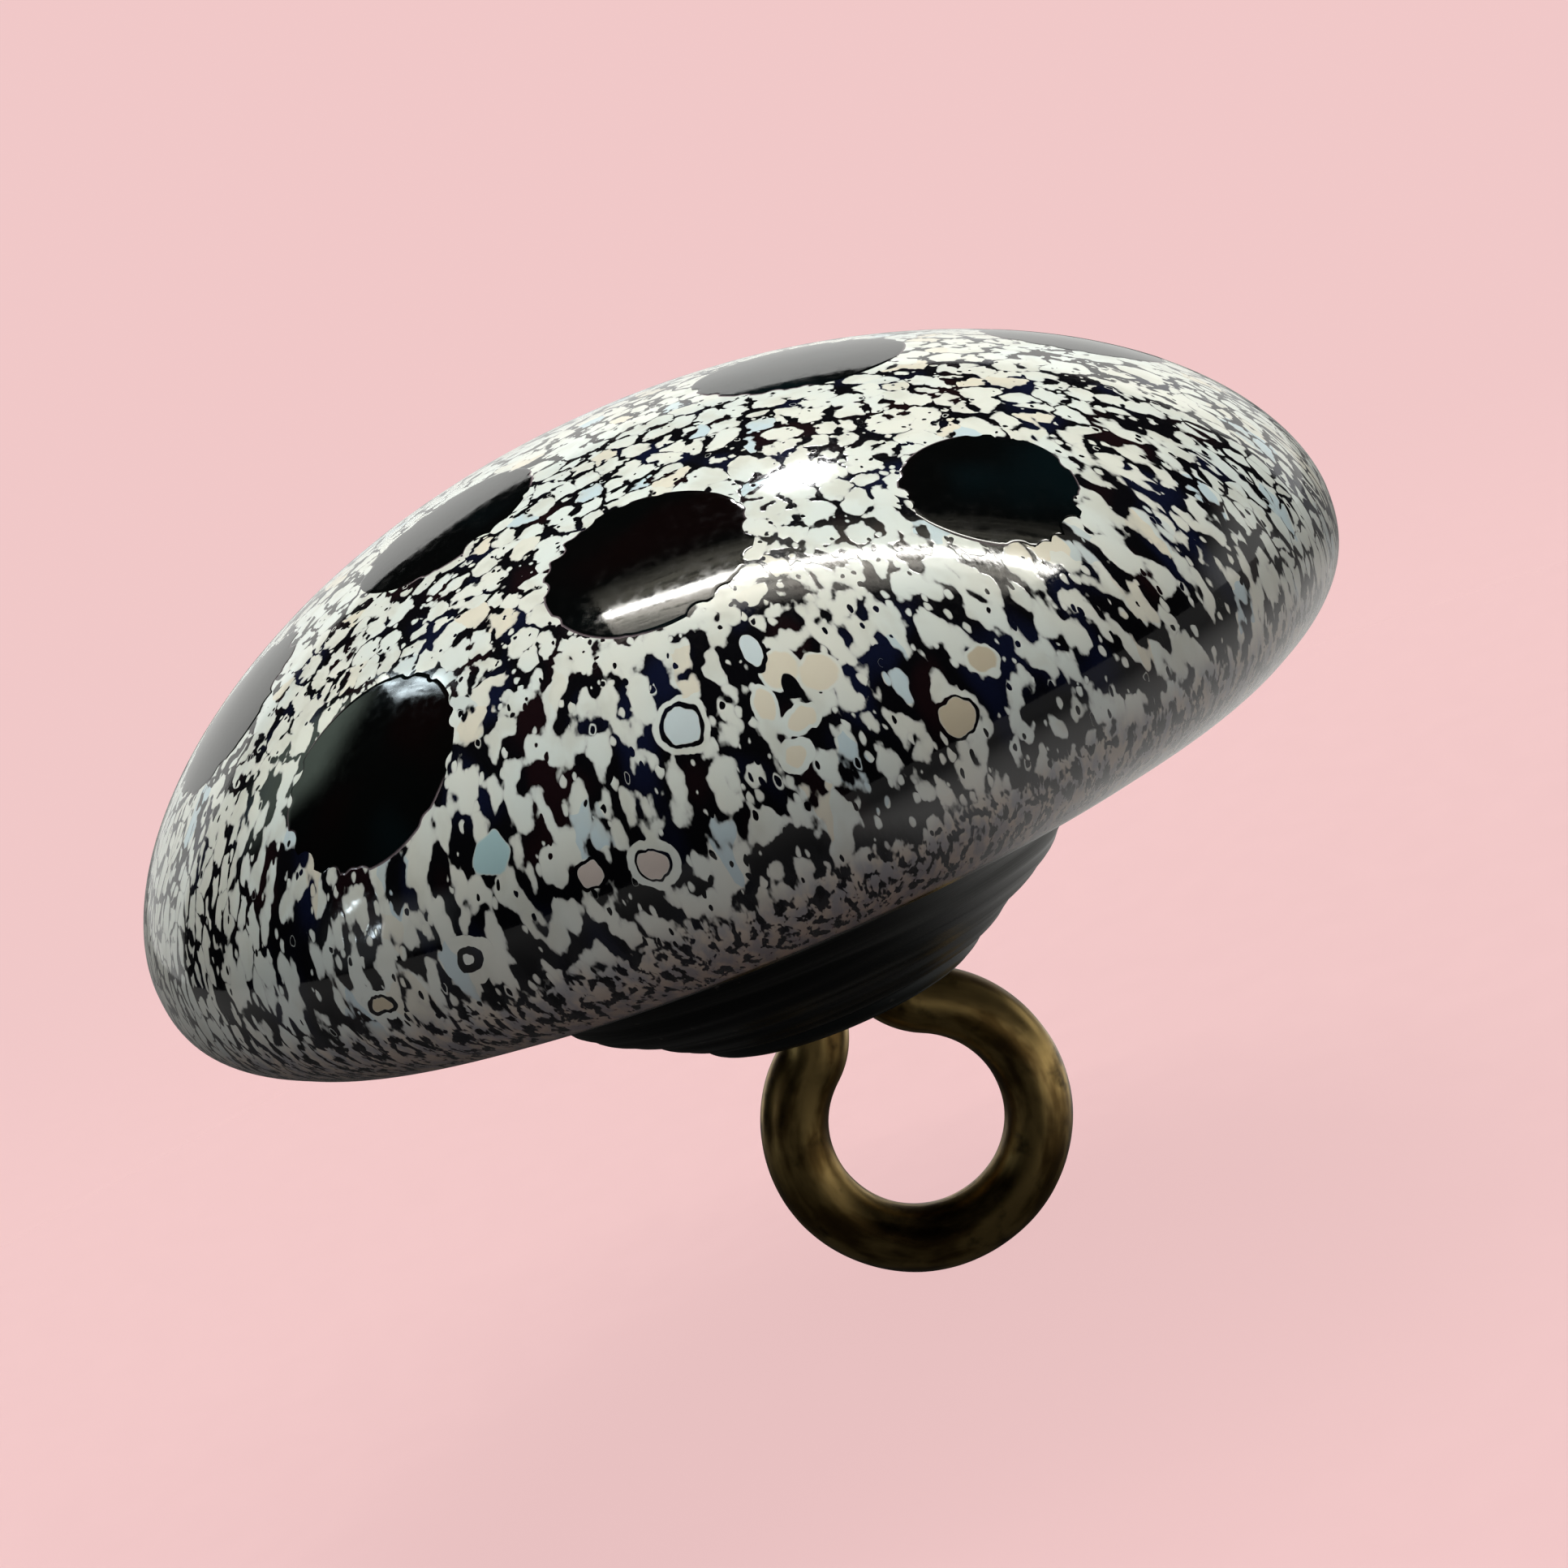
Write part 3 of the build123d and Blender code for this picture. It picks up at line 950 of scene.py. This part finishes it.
def aged_brass():
    material = new_material("aged_brass_look")
    tree = material.node_tree
    place = object_place(tree)
    along = stored(tree, "along", "Vector")
    patina = noise_value(tree, place, 520.0, 4.0, 0.6)
    streak = noise_value(tree, vector_calc(tree, "MULTIPLY", along, (0.55, 1.6, 1.0)), 1.1, 3.0)
    gold = blend_colour(
        tree, ramp(tree, streak, 0.40, 0.60), rgb(0.22, 0.135, 0.042), rgb(0.50, 0.345, 0.130)
    )
    worn = calc(tree, "MULTIPLY_ADD", streak, 0.5, calc(tree, "MULTIPLY", patina, 0.5))
    tarnish = ramp(tree, worn, 0.56, 0.38, 0.0, 0.75)
    colour = blend_colour(tree, tarnish, gold, rgb(0.065, 0.038, 0.016))
    spots = noise_value(tree, place, 1900.0, 3.0)
    colour = blend_colour(
        tree, ramp(tree, spots, 0.56, 0.78, 0.0, 0.80), colour, rgb(0.012, 0.009, 0.006)
    )
    shine = ramp(tree, patina, 0.30, 0.70, 0.27, 0.42)
    relief = calc(tree, "MULTIPLY_ADD", spots, 0.5, streak)
    bump = node(tree, "ShaderNodeBump", {"Height": relief, "Strength": 0.25, "Distance": 0.00004})
    surface = node(
        tree,
        "ShaderNodeBsdfPrincipled",
        {
            "Base Color": colour,
            "Roughness": shine,
            "Metallic": 1.0,
            "Normal": bump.outputs[0],
        },
    )
    return finished(material, surface)


def finish_piece(obj, material, node_name):
    obj.data.materials.append(material)
    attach(obj, "root")
    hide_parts(node_name)


legs = [bend_origin + bend_across * LEG_OFFSET * s for s in (-1, 1)]
finish_piece(spatter_skin(), spatter_glass(), "spatter_skin")
dot_material = dot_glass()
for number, dot in enumerate(DOTS, start=1):
    finish_piece(polka_dot(number, *dot), dot_material, f"polka_dot_{number:02d}")
core_look = trail_glass("black_glass_look", dull=0.10, ring_scale=1500.0, gloss=0.40)
finish_piece(glass_core(), core_look, "glass_core")
back_look = trail_glass("back_glass_look", dull=0.34, ring_scale=2600.0, gloss=0.24)
finish_piece(swirl_back(legs), back_look, "swirl_back")
finish_piece(wire_shank(), aged_brass(), "wire_shank")

# ---------------------------------------------------------------- camera
# the button leans over by ROLL in the picture and is seen from RISE above its rim
ROLL = math.radians(23.4)
RISE = math.radians(10.0)
CAMERA_DISTANCE = 6.5 * HEAD_RADIUS
AIM_RIGHT = 0.0765 * HEAD_RADIUS
AIM_DOWN = 0.0935 * HEAD_RADIUS
cam_right = Vector(
    (math.cos(ROLL), -math.sin(RISE) * math.sin(ROLL), -math.cos(RISE) * math.sin(ROLL))
)
cam_up = Vector((math.sin(ROLL), math.sin(RISE) * math.cos(ROLL), math.cos(RISE) * math.cos(ROLL)))
cam_back = Vector((0, -math.cos(RISE), math.sin(RISE)))
camera_data = bpy.data.cameras.new("camera")
camera_data.lens = 94.2
camera_data.sensor_width = 36
camera_data.clip_start = 0.005
camera_data.clip_end = 20
camera = bpy.data.objects.new("camera", camera_data)
bpy.context.scene.collection.objects.link(camera)
aim = RIM_CENTRE + cam_right * AIM_RIGHT - cam_up * AIM_DOWN
turned = Matrix((cam_right, cam_up, cam_back)).transposed().to_4x4()
camera.matrix_world = Matrix.Translation(aim + cam_back * CAMERA_DISTANCE) @ turned
bpy.context.scene.camera = camera

# ---------------------------------------------------------------- studio
PINK = rgb(0.876, 0.578, 0.578)


def seen_ray(tree):
    """1 for rays that show the background: straight to the camera, in gloss or through glass."""
    path = node(tree, "ShaderNodeLightPath")
    total = calc(tree, "ADD", path.outputs["Is Camera Ray"], path.outputs["Is Glossy Ray"])
    return calc(tree, "ADD", total, path.outputs["Is Transmission Ray"], clamp=True)


def studio_world():
    world = bpy.data.worlds.new("studio")
    world.use_nodes = True
    tree = world.node_tree
    tree.nodes.clear()
    fill = node(tree, "ShaderNodeBackground", {"Color": rgb(0.94, 0.98, 1.0), "Strength": 0.24})
    wall = node(tree, "ShaderNodeBackground", {"Color": PINK, "Strength": 1.0})
    both = node(
        tree, "ShaderNodeMixShader", {0: seen_ray(tree), 1: fill.outputs[0], 2: wall.outputs[0]}
    )
    output = node(tree, "ShaderNodeOutputWorld")
    tree.links.new(both.outputs[0], output.inputs[0])
    bpy.context.scene.world = world


def level_disc(name, reach, drop):
    """A flat disc round the axis, this far below the button's lowest point."""
    count = 96
    turns = [2 * math.pi * k / count for k in range(count)]
    verts = [Vector((0, 0, 0))] + [Vector((math.cos(a), math.sin(a), 0)) * reach for a in turns]
    faces = [(0, 1 + k, 1 + (k + 1) % count) for k in range(count)]
    obj = new_object(name, verts, faces, smooth=False)
    obj.location.z = wire_low.z - drop
    return obj


def studio_floor():
    """A pink floor that fades into the pink wall and keeps the button's soft shadow.

    It is clear from below, so that the underside can be looked at.
    """
    obj = level_disc("floor", 0.9, 0.010 * MM)
    material = new_material("floor_look")
    tree = material.node_tree
    place = object_place(tree)
    away = vector_calc(tree, "LENGTH", place)
    tooth = noise_value(tree, place, 900.0, 3.0)
    seen = seen_ray(tree)
    shown = node(tree, "ShaderNodeEmission", {"Color": PINK, "Strength": seen})
    matt = node(
        tree,
        "ShaderNodeBsdfDiffuse",
        {"Color": PINK, "Roughness": ramp(tree, tooth, 0.3, 0.7, 0.4, 0.8)},
    )
    ground = node(
        tree, "ShaderNodeMixShader", {0: 0.10, 1: shown.outputs[0], 2: matt.outputs[0]}
    )
    gone = node(tree, "ShaderNodeBsdfTransparent")
    below = node(tree, "ShaderNodeNewGeometry").outputs["Backfacing"]
    fade = calc(tree, "MAXIMUM", ramp(tree, away, 0.030, 0.085), below)
    both = node(
        tree, "ShaderNodeMixShader", {0: fade, 1: ground.outputs[0], 2: gone.outputs[0]}
    )
    obj.data.materials.append(finished(material, both))


def in_studio(x, y, z):
    """A place given as right, up and towards the camera from the middle of the button."""
    return RIM_CENTRE + cam_right * x + cam_up * y + cam_back * z


def show_in_gloss(obj, diffuse):
    """Stages a piece that is seen in gloss only, or with diffuse also lights matt things."""
    obj.visible_camera = False
    obj.visible_shadow = False
    obj.visible_diffuse = diffuse


def card(name, corners, colour, bright, dim, sharpness=1.0, streaks=0, diffuse=True, soft=0.0):
    """A glowing card, whose strength goes from bright at its first two corners to dim at the others.

    streaks is about the number of lines along it, and soft is the share of it that its border fades over.
    """
    obj = new_object(name, [in_studio(*c) for c in corners], [(0, 1, 2, 3)], smooth=False)
    uv = obj.data.uv_layers.new(name="card")
    for loop, spot in zip(uv.data, [(0, 0), (1, 0), (1, 1), (0, 1)]):
        loop.uv = spot
    material = new_material(name + "_look")
    tree = material.node_tree
    spot = node(tree, "ShaderNodeUVMap", uv_map="card").outputs[0]
    parts = node(tree, "ShaderNodeSeparateXYZ", {0: spot})
    share = calc(tree, "POWER", parts.outputs[1], sharpness)
    strength = blend_value(tree, share, bright, dim)
    if streaks:
        combed = vector_calc(tree, "MULTIPLY", spot, (2.0, streaks, 1.0))
        lines = ramp(tree, noise_value(tree, combed, 1.0, 2.5), 0.38, 0.62, 0.10, 1.7)
        strength = calc(tree, "MULTIPLY", strength, lines)
    if soft:
        for side in (parts.outputs[0], parts.outputs[1]):
            strength = calc(tree, "MULTIPLY", strength, ramp(tree, side, 0.0, soft))
            strength = calc(tree, "MULTIPLY", strength, ramp(tree, side, 1.0, 1.0 - soft))
    glow = node(tree, "ShaderNodeEmission", {"Color": colour, "Strength": strength})
    obj.data.materials.append(finished(material, glow))
    show_in_gloss(obj, diffuse)


def flag(name, radius, low, high):
    """A black screen round the button, seen only in gloss, so that the black glass stays black.

    low and high are its elevations in degrees.
    """
    verts = []
    rows, columns = 12, 48
    for i in range(rows + 1):
        rise = math.radians(low + (high - low) * i / rows)
        for k in range(columns + 1):
            turn = 2 * math.pi * k / columns
            out = Vector((math.cos(turn), math.sin(turn), 0)) * math.cos(rise)
            verts.append(RIM_CENTRE + (out + Vector((0, 0, math.sin(rise)))) * radius)
    faces = []
    for i in range(rows):
        for k in range(columns):
            a = i * (columns + 1) + k
            faces.append((a, a + 1, a + columns + 2, a + columns + 1))
    obj = new_object(name, verts, faces)
    material = new_material(name + "_look")
    tree = material.node_tree
    velvet = noise_value(tree, object_place(tree), 60.0)
    matt = node(tree, "ShaderNodeBsdfDiffuse", {"Color": rgb(0.001, 0.001, 0.001), "Roughness": velvet})
    obj.data.materials.append(finished(material, matt))
    show_in_gloss(obj, False)


def table_glow():
    """A dim pale table top, seen only in gloss.

    It is dark under the button, and paler away from it and to its right.
    """
    obj = level_disc("table_glow", 0.5, 0.005 * MM)
    material = new_material("table_glow_look")
    tree = material.node_tree
    place = object_place(tree)
    away = vector_calc(tree, "LENGTH", place)
    parts = node(tree, "ShaderNodeSeparateXYZ", {0: place})
    far = ramp(tree, away, 0.014, 0.080, 0.03, 0.20)
    right = ramp(tree, parts.outputs[0], 0.0025, 0.0090, 0.0, 0.85)
    right = calc(tree, "MULTIPLY", right, ramp(tree, away, 0.060, 0.020))
    glow = node(
        tree,
        "ShaderNodeEmission",
        {"Color": rgb(1.0, 0.98, 0.94), "Strength": calc(tree, "ADD", far, right)},
    )
    obj.data.materials.append(finished(material, glow))
    show_in_gloss(obj, False)


def lamp(name, toward, distance, size, energy, colour=(1, 1, 1), gloss=False):
    data = bpy.data.lights.new(name, "AREA")
    data.shape = "DISK"
    data.size = size
    data.energy = energy
    data.color = colour
    obj = bpy.data.objects.new(name, data)
    bpy.context.scene.collection.objects.link(obj)
    direction = Vector(toward).normalized()
    obj.location = in_studio(*(direction * distance))
    obj.rotation_mode = "QUATERNION"
    obj.rotation_quaternion = (obj.location - RIM_CENTRE).to_track_quat("Z", "Y")
    obj.visible_camera = False
    obj.visible_glossy = gloss


CARD_HEIGHT = 0.25
SPARK_HEIGHT = 0.249  # just below the strip card, so that it isn't hidden by it
WALL_DISTANCE = 0.4


def over(x, y, z, height=CARD_HEIGHT):
    """A point where the direction x, y, z meets the level plane at this height above the button."""
    return (x / y * height, height, z / y * height)


def behind(x, y):
    """A point of the upright plane behind the button, where x and y are shares of its distance."""
    return (x * WALL_DISTANCE, y * WALL_DISTANCE, -WALL_DISTANCE)


studio_world()
studio_floor()
flag("dark_surround", 0.60, -35, 90)
table_glow()

# overhead strip: hard bright edge at the back, fading toward the camera
strip = [
    over(-0.51, 0.86, -0.08),
    over(0.46, 0.86, 0.22),
    over(0.36, 0.86, 0.38),
    over(-0.52, 0.85, 0.08),
]
card("strip_card", strip, rgb(1.0, 0.95, 0.84), 10.0, 0.8, 0.70, streaks=26.0)
behind_strip = [
    over(-0.51, 0.86, -0.09),
    over(0.46, 0.86, 0.21),
    over(0.46, 0.86, 0.05),
    over(-0.51, 0.86, -0.21),
]
card("strip_back_card", behind_strip, rgb(1.0, 0.96, 0.78), 1.4, 0.0, 0.8, streaks=26.0)
spark = [
    over(-0.51, 0.86, -0.080, SPARK_HEIGHT),
    over(0.46, 0.86, 0.220, SPARK_HEIGHT),
    over(0.45, 0.86, 0.255, SPARK_HEIGHT),
    over(-0.51, 0.86, -0.045, SPARK_HEIGHT),
]
card("strip_edge_card", spark, rgb(1.0, 0.98, 0.92), 42.0, 26.0)

# white wall low behind the button, seen in the glass along the far edge
wall = [behind(-1.70, 0.14), behind(1.70, 1.35), behind(1.70, -1.20), behind(-1.70, -0.60)]
card("wall_card", wall, rgb(0.98, 0.98, 0.95), 0.92, 0.50, 0.6, diffuse=False)

# pale green card to the left, seen down the left of the dome
left = [(-0.42, 0.42, -0.30), (-0.42, 0.22, -0.10), (-0.42, 0.06, -0.20), (-0.42, 0.20, -0.38)]
card("left_card", left, rgb(0.80, 1.0, 0.84), 0.90, 0.34, 1.0, diffuse=False, soft=0.30)

# a small round lamp, mirrored near the crown, and a window pane, mirrored in the dot at the left
lamp("patch_lamp", (-0.17, 0.91, -0.36), 0.30, 0.030, 0.10, gloss=True)
pane = [(-0.212, 0.179, -0.144), (-0.216, 0.212, -0.080)]
pane += [(-0.227, 0.211, -0.050), (-0.231, 0.187, -0.101)]
card("pane_card", pane, rgb(0.80, 0.94, 1.0), 10.0, 7.0, streaks=8.0, diffuse=False, soft=0.14)

# dim cards to the right, low in front and far to the left
right = [(0.30, 0.42, -0.24), (0.42, 0.32, 0.02), (0.46, -0.08, 0.02), (0.40, -0.10, -0.24)]
card("right_card", right, rgb(0.98, 0.98, 0.95), 0.75, 0.75, diffuse=False, soft=0.30)
low = [(-0.10, -0.14, 0.42), (0.26, -0.08, 0.42), (0.26, -0.26, 0.36), (-0.10, -0.30, 0.36)]
card("front_low_card", low, rgb(1.0, 0.97, 0.90), 0.45, 0.45, soft=0.30)
far_left = [(-0.42, 0.04, 0.0), (-0.42, 0.04, 0.30), (-0.42, -0.22, 0.30), (-0.42, -0.22, 0.0)]
card("far_left_card", far_left, rgb(0.90, 0.96, 1.0), 0.35, 0.25, soft=0.30)

# two small bright cards at the left, each with its half-height
GLINTS = [
    ("upper", (-0.297, 0.009, 0.048), 0.010),
    ("lower", (-0.285, -0.048, 0.081), 0.013),
]
for name, (x, y, z), reach in GLINTS:
    glint = [(x, y - reach, z - 0.006), (x, y + reach, z + 0.002)]
    glint += [(x, y + reach, z + 0.006), (x, y - reach, z - 0.002)]
    card(f"glint_card_{name}", glint, rgb(0.80, 0.93, 1.0), 30.0, 30.0, diffuse=False)

lamp("key", (-0.25, 0.85, -0.35), 0.45, 0.30, 1.60, (1.0, 0.995, 0.98))
lamp("front_fill", (-0.45, 0.35, 0.85), 0.60, 0.40, 0.44, (0.97, 1.0, 0.97))

# ---------------------------------------------------------------- end
scene = bpy.context.scene
scene.view_settings.view_transform = "Standard"
